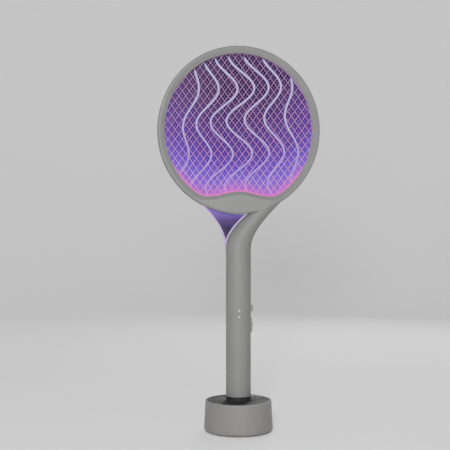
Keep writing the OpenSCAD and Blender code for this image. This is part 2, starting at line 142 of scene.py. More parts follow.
def rounded(corners, steps):
    """A polyline through corners (x, y, radius), each turned into an arc of steps + 1 points."""
    points = []
    for i, (x, y, r) in enumerate(corners):
        here = np.array([x, y])
        if i in (0, len(corners) - 1) or r == 0:
            points.append(here)
            continue
        before = np.array(corners[i - 1][:2]) - here
        after = np.array(corners[i + 1][:2]) - here
        before, after = before / np.linalg.norm(before), after / np.linalg.norm(after)
        half = math.acos(max(-1, min(1, float(before @ after)))) / 2
        reach = r / math.tan(half)
        p0, p2 = here + before * reach, here + after * reach
        for k in range(steps + 1):
            s = k / steps
            points.append((1 - s) ** 2 * p0 + 2 * s * (1 - s) * here + s * s * p2)
    return points


def make_object(name, points, faces, angle=40):
    """A mesh object from millimetre points, smooth except at edges sharper than angle."""
    mesh = bpy.data.meshes.new(name)
    mesh.from_pydata([Vector(p) * MM for p in points], [], faces)
    mesh.validate()
    mesh.update()
    mesh.shade_smooth()
    mesh.set_sharp_from_angle(angle=math.radians(angle))
    obj = bpy.data.objects.new(name, mesh)
    bpy.context.scene.collection.objects.link(obj)
    return obj


def skin_faces(count, size, first=0, loop=False, closed=True):
    """Quads between count rows of size points each, from vertex number first."""
    faces = []
    for i in range(count if loop else count - 1):
        for j in range(size if closed else size - 1):
            a, b = first + i * size, first + (i + 1) % count * size
            k = (j + 1) % size
            faces.append((a + j, a + k, b + k, b + j))
    return faces


def tube(points, shape):
    """A tube along points; shape(i) gives ring i's outline as (side, depth) pairs."""
    last = len(points) - 1
    rows = []
    for i, p in enumerate(points):
        d = np.array(points[min(i + 1, last)]) - np.array(points[max(i - 1, 0)])
        d = d / np.linalg.norm(d)
        side = np.array([-d[2], 0, d[0]])
        rows += [np.array(p) + side * u + np.array([0, v, 0]) for u, v in shape(i)]
    size = len(shape(0))
    faces = skin_faces(len(points), size)
    faces.append(tuple(range(size - 1, -1, -1)))
    faces.append(tuple(range(last * size, (last + 1) * size)))
    return rows, faces


def oval_ring(width, depth, sides):
    """An oval outline for tube()."""
    angles = [2 * math.pi * k / sides for k in range(sides)]
    return [(width / 2 * math.cos(a), depth / 2 * math.sin(a)) for a in angles]


def join_parts(parts):
    """Several (points, faces) as one."""
    points, faces = [], []
    for p, f in parts:
        faces += [tuple(i + len(points) for i in face) for face in f]
        points += list(p)
    return points, faces


# ---------- material helpers ----------
class Nodes:
    """A material's node tree, with short calls for the nodes used here."""

    def __init__(self, name):
        self.material = bpy.data.materials.new(name)
        self.material.use_nodes = True
        self.tree = self.material.node_tree
        self.shader = self.tree.nodes["Principled BSDF"]

    def add(self, kind, **values):
        node = self.tree.nodes.new(kind)
        for key, value in values.items():
            setattr(node, key, value)
        return node

    def put(self, socket, value):
        if isinstance(value, bpy.types.NodeSocket):
            self.tree.links.new(value, socket)
        else:
            socket.default_value = value

    def set(self, **values):
        for key, value in values.items():
            self.put(self.shader.inputs[key.replace("_", " ")], value)

    def where(self):
        """Object coordinates: metres in the row frame."""
        return self.add("ShaderNodeTexCoord").outputs["Object"]

    def axes(self):
        split = self.add("ShaderNodeSeparateXYZ")
        self.put(split.inputs[0], self.where())
        return split.outputs

    def math(self, operation, a, b=0.0, clamp=False):
        node = self.add("ShaderNodeMath", operation=operation, use_clamp=clamp)
        self.put(node.inputs[0], a)
        self.put(node.inputs[1], b)
        return node.outputs[0]

    def span(self, value, low, high, to_low=0.0, to_high=1.0, soft=True):
        node = self.add("ShaderNodeMapRange", interpolation_type="SMOOTHSTEP" if soft else "LINEAR")
        for socket, v in zip(node.inputs, (value, low, high, to_low, to_high)):
            self.put(socket, v)
        return node.outputs[0]

    def noise(self, scale, detail=3.0, stretch=None):
        node = self.add("ShaderNodeTexNoise")
        where = self.where()
        if stretch:
            mapping = self.add("ShaderNodeMapping")
            mapping.inputs["Scale"].default_value = stretch
            self.put(mapping.inputs["Vector"], where)
            where = mapping.outputs[0]
        self.put(node.inputs["Vector"], where)
        node.inputs["Scale"].default_value = scale
        node.inputs["Detail"].default_value = detail
        return node.outputs["Fac"]

    def ramp(self, value, *stops):
        node = self.add("ShaderNodeValToRGB")
        while len(node.color_ramp.elements) < len(stops):
            node.color_ramp.elements.new(0.5)
        for element, (place, colour) in zip(node.color_ramp.elements, stops):
            element.position = place
            element.color = (*colour, 1)
        self.put(node.inputs[0], value)
        return node.outputs[0]

    def mottle(self, scale, detail, dark, light, low=0.3, high=0.7):
        """Two tones of a colour, mixed by noise."""
        return self.ramp(self.noise(scale, detail), (low, dark), (high, light))

    def uneven(self, value, scale, detail, amount):
        """value, shifted a little up and down by noise."""
        shift = self.math("SUBTRACT", self.noise(scale, detail), 0.5)
        return self.math("ADD", value, self.math("MULTIPLY", shift, amount))

    def share_of_height(self, node):
        """0 at the foot of a CAD node and 1 at its top."""
        low, high = box_mm(node)
        return self.span(self.axes()[2], low[2] * MM, high[2] * MM, soft=False)

    def bump(self, height, distance, strength=1.0, under=None):
        node = self.add("ShaderNodeBump")
        node.inputs["Distance"].default_value = distance
        node.inputs["Strength"].default_value = strength
        self.put(node.inputs["Height"], height)
        if under is not None:
            self.put(node.inputs["Normal"], under)
        return node.outputs[0]


def shade(colour, k):
    """colour, k times as bright."""
    return tuple(min(1.0, c * k) for c in colour)


def plastic(name, colour, rough, grain=0.35, coat=0.0, mottle=0.04, shine=0.5):
    """Moulded plastic: a fine spark-eroded grain, faint flow mottling and hand-worn shine."""
    n = Nodes(name)
    mottled = n.mottle(28, 4, shade(colour, 1 - mottle), shade(colour, 1 + mottle))
    n.set(Base_Color=mottled, Coat_Weight=coat, Coat_Roughness=0.25, Specular_IOR_Level=shine)
    wear = n.noise(60, 5)
    n.set(Roughness=n.span(wear, 0.3, 0.7, rough - 0.06, rough + 0.07))
    fine = n.noise(2600, 2)
    wavy = n.bump(n.noise(90, 2), 0.00004, 0.25)
    n.set(Normal=n.bump(fine, 0.00003, grain, wavy))
    return n.material


def metal(name, colour, rough, stretch=(1, 1, 12)):
    """Metal with fine drawn lines and slight tarnish."""
    n = Nodes(name)
    tint = n.mottle(220, 5, shade(colour, 0.82), shade(colour, 1.06), 0.25, 0.75)
    lines = n.noise(1500, 3, stretch)
    n.set(Base_Color=tint, Metallic=1.0)
    n.set(Roughness=n.span(lines, 0.3, 0.7, rough - 0.08, rough + 0.1))
    n.set(Normal=n.bump(lines, 0.00002, 0.3))
    return n.material


def rubber(name, colour):
    """Matte rubber with a little dust."""
    n = Nodes(name)
    dusty = n.mottle(300, 6, shade(colour, 0.7), shade(colour, 1.9), 0.3, 0.8)
    n.set(Base_Color=dusty, Roughness=n.span(n.noise(900, 3), 0.2, 0.8, 0.7, 0.92))
    n.set(Normal=n.bump(n.noise(2200, 3), 0.00008, 0.5))
    return n.material


def circuit_board(name):
    """Green lacquer over copper tracks that run along and across the board."""
    n = Nodes(name)
    brick = n.add("ShaderNodeTexBrick")
    n.put(brick.inputs["Vector"], n.where())
    brick.inputs["Scale"].default_value = 420
    brick.inputs["Mortar Size"].default_value = 0.06
    tracks = n.ramp(brick.outputs["Fac"], (0.2, (0.008, 0.10, 0.045)), (0.8, (0.03, 0.22, 0.10)))
    n.set(Base_Color=tracks, Roughness=n.span(n.noise(500), 0.3, 0.7, 0.28, 0.45))
    n.set(Normal=n.bump(brick.outputs["Fac"], 0.00005, 0.4))
    return n.material


def paint(obj, material):
    """Gives every slot of obj this material, held by the object."""
    if not obj.material_slots:
        obj.data.materials.append(None)
    for item in obj.material_slots:
        item.link = "OBJECT"
        item.material = material
    return obj


def dress(material, *names):
    """Gives CAD nodes this material."""
    for name in names:
        paint(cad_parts[name], material)


# ---------- housings of the head and neck ----------
HALVINGS = 30  # of the search for the section that runs through a point
NOT_THERE = -99.0
BLEND = 3.2  # width of the soft join between rim and neck
NECK_SINK = 0.13  # slope at which the neck sinks under the rim
NECK_COVER = 0.4  # plastic left over the sunk neck
RIM_FALL = 5  # slope of the rim's surface outside its edge
TUCK = 4  # how far beyond the edge, and above the middle plane, the neck follows the rim
FACE_ROUND = 1.3
LIP_ROUNDS = (0.6, 0.15)
CREST_BEVEL = 1.2  # the bevel is this much narrower over the wavy cover
ARC_STEPS = 6
FACE_POINTS = 9


def neck_depth(s):
    """Half the neck's depth at s, from the handle's to the head's."""
    return HANDLE_R + (NECK_END_DEPTH - HANDLE_R) * smooth(s)


def neck_section(s):
    """The neck's section at s: middle, unit chord and half width in the head's plane, and depth."""
    a, b = bezier(NECK_LEFT, s), bezier(NECK_RIGHT, s)
    chord = b - a
    width = np.linalg.norm(chord)
    return (a + b) / 2, chord / width, width / 2, neck_depth(s)


def neck_height(x, z):
    """How far the neck's surface stands out of the middle plane at x, z; negative beside it."""
    low, high = np.zeros_like(x), np.ones_like(x)

    def side_of_chord(s):
        s = s[:, None]
        a, b = bezier(NECK_LEFT[:, None], s), bezier(NECK_RIGHT[:, None], s)
        return (b - a)[:, 0] * (z - a[:, 1]) - (b - a)[:, 1] * (x - a[:, 0])

    inside = (side_of_chord(low) > 0) & (side_of_chord(high) < 0)
    for _ in range(HALVINGS):
        middle = (low + high) / 2
        above = side_of_chord(middle) > 0
        low, high = np.where(above, middle, low), np.where(above, high, middle)
    s = low[:, None]
    a, b = bezier(NECK_LEFT[:, None], s), bezier(NECK_RIGHT[:, None], s)
    centre, half = (a + b) / 2, (b - a) / 2
    offset = (x - centre[:, 0]) * half[:, 0] + (z - centre[:, 1]) * half[:, 1]
    across = offset / (half**2).sum(axis=1)
    round_top = neck_depth(low) * np.sqrt(np.maximum(1 - across**2, 0))
    return np.where(inside & (np.abs(across) < 1), round_top, NOT_THERE)


def past_rim(x, z):
    """Distance outside the head's oval at x, z; negative inside it."""
    t = np.degrees(np.arctan2(z - HEAD_Z, x))
    return np.hypot(x, z - HEAD_Z) - oval_r(t, 0)


def rim_section(t):
    """A head frame's outline at angle t, (radius, depth) round the face and back along the inside.

    The second value is the number of the last point of the flat face.
    """
    outer, inner = float(oval_r(t, 0)), float(opening_r(t))
    bevel = BEVEL_W - CREST_BEVEL * float(hump(t))
    edge = FACE_Y - WALL
    face = rounded(
        [
            (outer, SPLIT_GAP, 0),
            (outer, FACE_Y, EDGE_R),
            (inner + bevel, FACE_Y, FACE_ROUND),
            (inner, FACE_Y - BEVEL_DROP, LIP_ROUNDS[0]),
            (inner, FACE_Y - BEVEL_DROP - LIP_T, LIP_ROUNDS[1]),
            (inner + bevel, edge, 0.3),
            (outer - EDGE_R - 0.3, edge, 0.2),
            (outer - WALL, edge - 1.8, 0.2),
            (outer - WALL, SPLIT_GAP, 0),
        ],
        ARC_STEPS,
    )
    cut = ARC_STEPS + 2
    start, end = face[cut - 1], face[cut]
    flat = [start + (end - start) * k / FACE_POINTS for k in range(1, FACE_POINTS)]
    return face[:cut] + flat + face[cut:], cut + FACE_POINTS - 1


def head_housing(side):
    """The rim and wavy cover of one head frame, swelling over the neck where they run together."""
    rows, count, outside = [], 360, 0
    for t in range(count):
        section, outside = rim_section(t)
        c, s = unit(t)
        rows.append([(q[0] * c, q[1], HEAD_Z + q[0] * s) for q in section])
    size = len(rows[0])
    points = np.array(rows).reshape(-1, 3)
    order = np.tile(np.arange(size), count)
    x, z = points[:, 0], points[:, 2]
    swell = neck_height(x, z) + NECK_SINK * past_rim(x, z)
    blended = smooth_max(points[:, 1], swell, BLEND)
    on_face = (order >= 1) & (order <= outside) & (swell > 0)
    points[on_face, 1] = blended[on_face]
    points[:, 1] *= side
    faces = skin_faces(count, size, loop=True)
    return points, faces if side > 0 else [f[::-1] for f in faces]


def neck_housing(side):
    """One hollow half of the neck, meeting the rim's surface at its edge and running under it."""
    steps, arc = 84, np.arange(0, 181, 4)
    points = []
    for i in range(steps + 1):
        middle, chord, half, depth = neck_section(i / steps)
        for inset, angles in ((0, arc), (WALL, arc[::-1])):
            for t in np.radians(angles):
                p = middle + chord * (half - inset) * math.cos(t)
                points.append((p[0], (depth - inset) * math.sin(t), p[1]))
    points = np.array(points)
    size = 2 * len(arc)
    outer = np.tile(np.arange(size) < len(arc), steps + 1)
    gap = past_rim(points[:, 0], points[:, 2])
    h = points[:, 1].copy()
    rim = FACE_Y - EDGE_R - RIM_FALL * np.maximum(gap, 0)
    met = smooth_max(h, rim, BLEND)
    sunk = np.minimum(h + NECK_SINK * gap, FACE_Y - 0.6) - NECK_COVER
    blended = np.where(gap > 0, met, np.maximum(sunk, 0))
    change = outer & (h > TUCK) & (gap < TUCK)
    points[change, 1] = blended[change]
    points[:, 1] = side * np.maximum(points[:, 1], 0.02)
    faces = skin_faces(steps + 1, size)
    return points, faces if side < 0 else [f[::-1] for f in faces]


SCREW_REACH = 8  # all points of one screw lie this close together


def screw_places():
    """The rear frame's screws: their middles, read from the screws' own node."""
    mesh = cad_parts["head_screws"].data
    points = np.array([v.co for v in mesh.vertices]) / MM
    places = []
    for p in points:
        if not any(math.hypot(p[0] - q[0], p[2] - q[1]) < SCREW_REACH for q in places):
            near = points[np.hypot(points[:, 0] - p[0], points[:, 2] - p[2]) < SCREW_REACH]
            x, z = near[:, 0], near[:, 2]
            places.append(((x.min() + x.max()) / 2, (z.min() + z.max()) / 2))
    return places


def cut_holes(obj, places, radius, y0, y1):
    """Cuts a round hole along Y, from y0 to y1, at each place."""
    parts = []
    for x, z in places:
        ring = [unit(a) for a in range(0, 360, 12)]
        points = [(x + radius * c, y, z + radius * s) for y in (y0, y1) for c, s in ring]
        n = len(ring)
        faces = skin_faces(2, n) + [tuple(range(n - 1, -1, -1)), tuple(range(n, 2 * n))]
        parts.append((points, faces))
    cutter = make_object("cutter", *join_parts(parts))
    hole = obj.modifiers.new("holes", "BOOLEAN")
    hole.operation, hole.solver, hole.object = "DIFFERENCE", "EXACT", cutter
    shaped = obj.evaluated_get(bpy.context.evaluated_depsgraph_get())
    mesh = bpy.data.meshes.new_from_object(shaped)
    obj.modifiers.clear()
    obj.data = mesh
    mesh.set_sharp_from_angle(angle=math.radians(40))
    bpy.data.objects.remove(cutter)


def spring_coil(node, turns=3, thick=0.5):
    """A charging pin's coil spring in its CAD node's space: one wire, its end turns lying flat."""
    low, high = box_mm(node)
    x, y = (low[0] + high[0]) / 2, (low[1] + high[1]) / 2
    radius = (high[0] - low[0] - thick) / 2
    flat_end = 0.08  # share of the wire that lies flat at each end
    steps, sides, points = 36 * turns, 10, []
    for i in range(steps + 1):
        c, s = unit(10 * i)
        rise = smooth(min(1.0, max(0.0, (i / steps - flat_end) / (1 - 2 * flat_end))))
        z = low[2] + thick / 2 + (high[2] - low[2] - thick) * rise
        for k in range(sides):
            b = 2 * math.pi * k / sides
            r = radius + thick / 2 * math.cos(b)
            points.append((x + r * c, y + r * s, z + thick / 2 * math.sin(b)))
    faces = skin_faces(steps + 1, sides)
    faces.append(tuple(range(sides - 1, -1, -1)))
    faces.append(tuple(range(steps * sides, (steps + 1) * sides)))
    return points, faces


# ---------- guards, ribs and grid ----------
BAR_W = 1.0
GUARD_RIM = (0.3, 2.1)  # how far the guard's rim starts and ends beyond the opening
FINE_PITCH = 2.2
FINE_W, FINE_D = 0.92, 0.5
COARSE_W, COARSE_D = 0.62, 0.5
WEAVE = 0.2  # how far crossing wires step apart
RIB_COUNT = 7


def bars_in_opening(pitch, angle, grow, shift=0.0, step=0.4):
    """End points of the straight bars at this angle that lie inside the opening, grown by grow."""
    direction = np.array(unit(angle))
    reach = math.ceil(1.3 * HEAD_B / pitch)
    along = np.arange(-1.4 * HEAD_B, 1.4 * HEAD_B, step)
    bars = []
    for i in range(-reach, reach + 1):
        line = np.array([i * pitch + shift, 0.0]) + along[:, None] * direction
        t = np.degrees(np.arctan2(line[:, 1], line[:, 0])) % 360
        inside = np.hypot(line[:, 0], line[:, 1]) < opening_r(t) + grow
        edges = np.flatnonzero(np.diff(np.concatenate([[0], inside.astype(int), [0]])))
        for a, b in zip(edges[::2], edges[1::2] - 1):
            if b - a > 4:
                bars.append((line[a], line[b]))
    return bars


def cut_long(bars, step=12.0):
    """Each bar as a row of points about step apart."""
    rows = []
    for a, b in bars:
        n = max(1, round(float(np.linalg.norm(b - a)) / step))
        rows.append([a + (b - a) * k / n for k in range(n + 1)])
    return rows


def bar_mesh(pitch, y, width, depth, grow, shift=0.0, sides=8, weave=0.0):
    """Crossing bars over the opening at depth y, as (points, faces)."""
    slope = math.degrees(math.atan2(CELL_H, CELL_W))
    parts = []
    for sign in (-1, 1):
        for line in cut_long(bars_in_opening(pitch, sign * slope, grow, shift)):
            path = [(p[0], y + sign * weave, HEAD_Z + p[1]) for p in line]
            parts.append(tube(path, lambda i: oval_ring(width, depth, sides)))
    return parts


def outline_band(inner, outer, y0, y1, bevel=0.2, count=240):
    """A closed band round the opening from inner to outer beyond its edge, between two depths."""
    points = []
    corners = [(inner, y0 + bevel), (inner + bevel, y0), (outer - bevel, y0), (outer, y0 + bevel)]
    corners += [(outer, y1 - bevel), (outer - bevel, y1), (inner + bevel, y1), (inner, y1 - bevel)]
    for i in range(count):
        t = 360 * i / count
        c, s = unit(t)
        r = float(opening_r(t))
        points += [((r + u) * c, y, HEAD_Z + (r + u) * s) for u, y in corners]
    return points, skin_faces(count, len(corners), loop=True)


def guard(y_in, y_out, shift):
    """A moulded lattice guard with its rim."""
    middle, thick = (y_in + y_out) / 2, abs(y_out - y_in)
    parts = bar_mesh(CELL_W, middle, BAR_W, thick - 0.06, 0.8, shift)
    parts.append(outline_band(*GUARD_RIM, min(y_in, y_out), max(y_in, y_out)))
    return join_parts(parts)


def grid_mesh():
    """The high-voltage mesh: two close layers of fine crossing wires, half a pitch apart."""
    parts = []
    for y, shift in ((-1.5, 0.0), (1.5, FINE_PITCH / 2)):
        parts += bar_mesh(FINE_PITCH, y, FINE_W, FINE_D, 0.6, shift, sides=6, weave=WEAVE)
    return join_parts(parts)


def coarse_mesh():
    """The high-voltage grid's coarse layer: seen from the front, it splits the guard's cells."""
    shift = CELL_W / 2
    return join_parts(
        bar_mesh(CELL_W, COARSE_Y, COARSE_W, COARSE_D, 0.6, shift, sides=6, weave=WEAVE)
    )


def rib_points(i, count=150):
    """Middle line and width of flowing rib i, from the top of the opening to its bottom."""
    share = i / (RIB_COUNT - 1)
    found = []
    for k in range(count + 1):
        s = k / count
        top, bottom = -54 + 116 * share, -84 + 164 * share
        swing = 7 + 11 * math.sin(math.pi * share)
        swing *= math.sin(math.radians(800 * s - 100 + 40 * share))
        x, z = top + (bottom - top) * s + swing, 98 - 196 * s
        if math.hypot(x, z) < opening_r(math.degrees(math.atan2(z, x)) % 360) - 1.4:
            found.append((x, z, 2.6 - 0.9 * s))
    return found


def ribs():
    """All flowing ribs, half round, lying on the front guard."""
    parts = []
    high = RIB_OUT - GUARD_OUT
    for i in range(RIB_COUNT):
        line = rib_points(i)
        last = len(line) - 1

        def outline(k, line=line, last=last):
            width = line[k][2] * min(1, 0.35 + 0.22 * min(k, last - k))
            arc = [unit(a) for a in range(0, 181, 18)]
            return [(width / 2 * c, 0.15 - (high - 0.05) * s**0.8) for c, s in arc]

        parts.append(tube([(x, -GUARD_OUT, HEAD_Z + z) for x, z, _ in line], outline))
    return join_parts(parts)


# ---------- fin ----------
def crossing(curve):
    """The parameter at which a curve from below reaches the head's outline."""
    for k in range(400, 1001):
        p = bezier(curve, k / 1000)
        if past_rim(np.array([p[0]]), np.array([p[1]]))[0] < 0.25:
            return k / 1000
    return 1.0


FIN_TOP = crossing(FIN_EDGE)
FIN_INNER_TOP = crossing(NECK_LEFT)


def fin_guide(curve, top, inset, widths, start=0.0, depth=4.4, steps=60):
    """A lit strip along a curve.

    inset is how far its middle lies to the right, and widths its width at foot, middle and top.
    """
    path, size = [], []
    low, middle, high = widths
    for k in range(steps + 1):
        s = k / steps
        at = start + (top - start) * s
        d = bezier(curve, min(at + 0.01, 1)) - bezier(curve, max(at - 0.01, 0))
        normal = np.array([d[1], -d[0]]) / np.linalg.norm(d)
        p = bezier(curve, at) + normal * inset
        path.append((p[0], 0, p[1]))
        size.append(low * (1 - s) ** 2 + 2 * s * (1 - s) * middle + high * s * s)
    return tube(path, lambda i: oval_ring(size[i], depth * min(1, 0.55 + 0.03 * i), 16))


def fin_panel():
    """The translucent web between the lit strips: a crowned sheet that reaches under the rim."""
    rows, columns, overlap = 36, 20, 0.3

    def side_points(curve, start, top, inset):
        steps = range(rows + 1)
        return [bezier(curve, start + (top - start) * k / rows) + (inset, 0) for k in steps]

    left = side_points(FIN_EDGE, 0.06, FIN_TOP, 1.0)
    right = side_points(NECK_LEFT, 0.05, FIN_INNER_TOP, -0.9)
    angles = [math.degrees(math.atan2(p[1] - HEAD_Z, p[0])) for p in (left[-1], right[-1])]
    points = []
    for side in (-1, 1):
        for k in range(rows + 1):
            v = k / rows
            for j in range(columns + 1):
                u = j / columns
                t = angles[0] + (angles[1] - angles[0]) * u
                r = float(oval_r(t, 0)) + overlap
                c, s = unit(t)
                top = np.array([r * c, HEAD_Z + r * s])
                rise = top - (1 - u) * left[-1] - u * right[-1]
                p = (1 - u) * left[k] + u * right[k] + v * rise
                crown = 1.1 + 0.6 * math.sin(math.pi * u) * smooth(v)
                points.append((p[0], side * crown, p[1]))
    size, sheet = columns + 1, (rows + 1) * (columns + 1)
    front = skin_faces(rows + 1, size, closed=False)
    back = [f[::-1] for f in skin_faces(rows + 1, size, first=sheet, closed=False)]
    rim = list(range(size)) + [k * size + columns for k in range(1, rows + 1)]
    rim += [rows * size + j for j in range(columns - 1, -1, -1)]
    rim += [k * size for k in range(rows - 1, 0, -1)]
    walls = [(a, b, b + sheet, a + sheet) for a, b in zip(rim[1:] + rim[:1], rim)]
    return points, front + back + walls


def lit(t, reach=75.0, fade=25.0):
    """Share of the light guide that shows at angle t: all over the lamp, none on the upper half."""
    return smooth(np.clip((reach - np.abs(t - 270)) / fade, 0, 1))


def lit_edge(y0, y1, count=360):
    """The light guide's glowing inner edge, a thin bead along the lower part of the opening."""
    points, bevel = [], 0.3
    for i in range(count):
        t = 360 * i / count
        c, s = unit(t)
        r = float(opening_r(t))
        inner, outer = r + 0.35 - 2.35 * float(lit(t)), r + 2.9
        corners = [(inner, y0 + bevel), (inner + bevel, y0), (outer, y0)]
        corners += [(outer, y1), (inner + bevel, y1), (inner, y1 - bevel)]
        points += [(u * c, y, HEAD_Z + u * s) for u, y in corners]
    return points, skin_faces(count, 6, loop=True)


def set_glow(obj):
    """Stores on each point how strongly the lamps light it.

    A dim field fades towards the top, and a bright edge rises a little way above the lamps.
    """
    points = np.array([v.co for v in obj.data.vertices]) / MM
    x, z = points[:, 0], points[:, 2] - HEAD_Z
    r, t = np.hypot(x, z), np.degrees(np.arctan2(z, x)) % 360
    field = 0.40 - z / 230 + 0.20 * (r / 100) ** 2
    reach = 2.5 + 7.5 * np.exp(-((x / 42) ** 2))
    rise = np.exp(-np.maximum(opening_r(t) - r, 0) / reach) * lit(t, 68, 22)
    glow = np.clip(0.8 * field, 0, 0.70) + 0.32 * rise
    layer = obj.data.attributes.new("glow", "FLOAT", "POINT")
    layer.data.foreach_set("value", np.clip(glow, 0, 1).astype(np.float32))


# ---------- materials ----------
def lamp_lit(name, base, stops, strength, rough=0.35, grain=0.2):
    """Plastic or metal with emission from each point's stored glow, with faint streaks: painted
    lamp light on the guards, ribs and grids, and the light guide's own glow.
    """
    n = Nodes(name)
    glow = n.add("ShaderNodeAttribute", attribute_name="glow").outputs["Fac"]
    n.set(Base_Color=n.mottle(180, 4, shade(base, 0.8), shade(base, 1.15)))
    n.set(Emission_Color=n.ramp(n.uneven(glow, 140, 4, 0.10), *stops))
    n.set(Emission_Strength=strength, Specular_IOR_Level=0.05)
    n.set(Roughness=n.span(n.noise(240, 3), 0.3, 0.7, rough - 0.07, rough + 0.1))
    n.set(Normal=n.bump(n.noise(1800, 2), 0.00003, grain))
    return n.material


def lit_strip(name, stops, strength):
    """Light-guide plastic that glows along its height, with stops as shares of the fin's height."""
    n = Nodes(name)
    share = n.share_of_height("fin_outer_light_guide")
    n.set(Base_Color=n.mottle(200, 3, (0.10, 0.08, 0.13), (0.13, 0.11, 0.17)))
    n.set(Emission_Color=n.ramp(n.uneven(share, 160, 3, 0.12), *stops))
    n.set(Emission_Strength=strength, Specular_IOR_Level=0.2)
    n.set(Roughness=n.span(n.noise(320, 3), 0.3, 0.7, 0.22, 0.38))
    n.set(Normal=n.bump(n.noise(900, 2), 0.00003, 0.25))
    return n.material


shell_plastic = plastic("shell_plastic", (0.095, 0.095, 0.093), 0.52, shine=0.2)
dock_plastic = plastic("dock_plastic", (0.100, 0.098, 0.096), 0.52, shine=0.2)
dark_plastic = plastic("dark_plastic", (0.014, 0.014, 0.015), 0.62, mottle=0.12, shine=0.12)
bezel_plastic = plastic("bezel_plastic", (0.05, 0.05, 0.052), 0.38, mottle=0.10)
control_plastic = plastic("control_plastic", (0.12, 0.12, 0.118), 0.40, 0.25, 0.05, shine=0.3)
inner_plastic = plastic("inner_plastic", (0.16, 0.13, 0.20), 0.5)
black_plastic = plastic("black_plastic", (0.02, 0.02, 0.022), 0.5, 0.5)
foot_rubber = rubber("foot_rubber", (0.02, 0.02, 0.02))
steel = metal("steel", (0.62, 0.62, 0.60), 0.32)
grid_steel = metal("grid_steel", (0.52, 0.50, 0.52), 0.36)
spring_steel = metal("spring_steel", (0.55, 0.55, 0.55), 0.25)
brass = metal("contact_brass", (0.80, 0.58, 0.24), 0.26)
board = circuit_board("circuit_board")
cell_wrap = plastic("cell_wrap", (0.03, 0.12, 0.42), 0.30, 0.1, 0.3)
tape = plastic("transformer_tape", (0.72, 0.55, 0.14), 0.35, 0.3)
film = plastic("capacitor_film", (0.30, 0.09, 0.03), 0.28, 0.1, 0.4)
red_lead = plastic("red_lead", (0.45, 0.02, 0.03), 0.4, 0.1)
blue_lead = plastic("blue_lead", (0.03, 0.08, 0.42), 0.4, 0.1)

# Painted lamp light: the lattices, ribs and grids are no lamps, so their emission stands for the
# lamps' violet light falling on them, brightest near the lamps.
guard_painted_light = lamp_lit(
    "guard_plastic",
    (0.065, 0.04, 0.07),
    [
        (0.0, (0.21, 0.11, 0.20)),
        (0.25, (0.33, 0.13, 0.33)),
        (0.50, (0.46, 0.10, 0.55)),
        (0.70, (0.80, 0.20, 0.95)),
        (0.95, (1.0, 0.02, 0.60)),
    ],
    1.0,
)
rib_painted_light = lamp_lit(
    "rib_plastic",
    (0.08, 0.06, 0.11),
    [
        (0.0, (0.56, 0.46, 1.0)),
        (0.30, (0.50, 0.36, 1.0)),
        (0.50, (0.40, 0.17, 0.95)),
        (0.70, (0.50, 0.07, 0.95)),
        (0.92, (1.0, 0.06, 0.66)),
    ],
    1.2,
)
grid_painted_light = lamp_lit(
    "grid_metal",
    (0.008, 0.004, 0.012),
    [
        (0.0, (0.006, 0.0015, 0.012)),
        (0.22, (0.020, 0.003, 0.05)),
        (0.45, (0.060, 0.002, 0.26)),
        (0.64, (0.13, 0.0, 0.90)),
        (0.90, (0.62, 0.0, 1.0)),
    ],
    1.0,
)
coarse_painted_light = lamp_lit(
    "coarse_grid_metal",
    (0.03, 0.018, 0.036),
    [
        (0.0, (0.10, 0.055, 0.12)),
        (0.25, (0.14, 0.06, 0.20)),
        (0.50, (0.17, 0.03, 0.37)),
        (0.70, (0.34, 0.03, 0.90)),
        (0.95, (0.90, 0.01, 0.75)),
    ],
    1.0,
)
edge_glow = lamp_lit(
    "light_guide",
    (0.06, 0.02, 0.07),
    [
        (0.0, (0.03, 0.01, 0.05)),
        (0.45, (0.20, 0.02, 0.50)),
        (0.75, (0.80, 0.01, 0.80)),
        (0.95, (1.0, 0.01, 0.58)),
    ],
    1.1,
)
outer_strip = lit_strip(
    "outer_light_guide",
    [(0.0, (0.16, 0.12, 0.20)), (0.25, (0.46, 0.22, 0.74)), (0.9, (0.72, 0.30, 0.86))],
    1.1,
)
inner_strip = lit_strip(
    "inner_light_guide",
    [(0.0, (0.16, 0.13, 0.20)), (0.3, (0.48, 0.42, 0.66)), (0.9, (0.70, 0.42, 0.86))],
    1.0,
)


def violet_panel():
    """Translucent violet web, lit from the top where it meets the head."""
    n = Nodes("fin_plastic")
    stops = [
        (0.35, (0.006, 0.003, 0.012)),
        (0.62, (0.05, 0.018, 0.12)),
        (0.82, (0.15, 0.05, 0.42)),
        (1.0, (0.22, 0.08, 0.62)),
    ]
    share = n.share_of_height("fin_panel")
    n.set(Base_Color=n.mottle(90, 3, (0.012, 0.006, 0.022), (0.018, 0.010, 0.032)))
    n.set(Emission_Color=n.ramp(n.uneven(share, 50, 3, 0.10), *stops))
    n.set(Emission_Strength=1.0, Specular_IOR_Level=0.08)
    n.set(Roughness=n.span(n.noise(60, 3), 0.3, 0.7, 0.34, 0.46))
    n.set(Normal=n.bump(n.noise(300, 2), 0.00002, 0.1))
    return n.material


fin_plastic = violet_panel()


def lens_plastic():
    """Milky clear plastic with a faint light behind it."""
    n = Nodes("lens")
    n.set(Base_Color=n.mottle(900, 2, (0.55, 0.57, 0.58), (0.66, 0.68, 0.69)))
    n.set(Roughness=n.span(n.noise(700, 2), 0.3, 0.7, 0.14, 0.24), Transmission_Weight=0.35)
    n.set(Emission_Color=(0.7, 0.8, 1.0, 1), Emission_Strength=0.12)
    n.set(Normal=n.bump(n.noise(1500, 2), 0.00002, 0.2))
    return n.material


lens = lens_plastic()


# ---------- pieces ----------
def piece(name, shape, material, body, replaced):
    """A piece on a body that stands for the CAD nodes in replaced and is painted with material."""
    obj = paint(make_object(name, *shape), material)
    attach(obj, body)
    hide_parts(*replaced)
    return obj


def cover(name, shape, node):
    """A shell of the swatter that stands for one CAD node."""
    return piece(name, shape, shell_plastic, "swatter", [node])


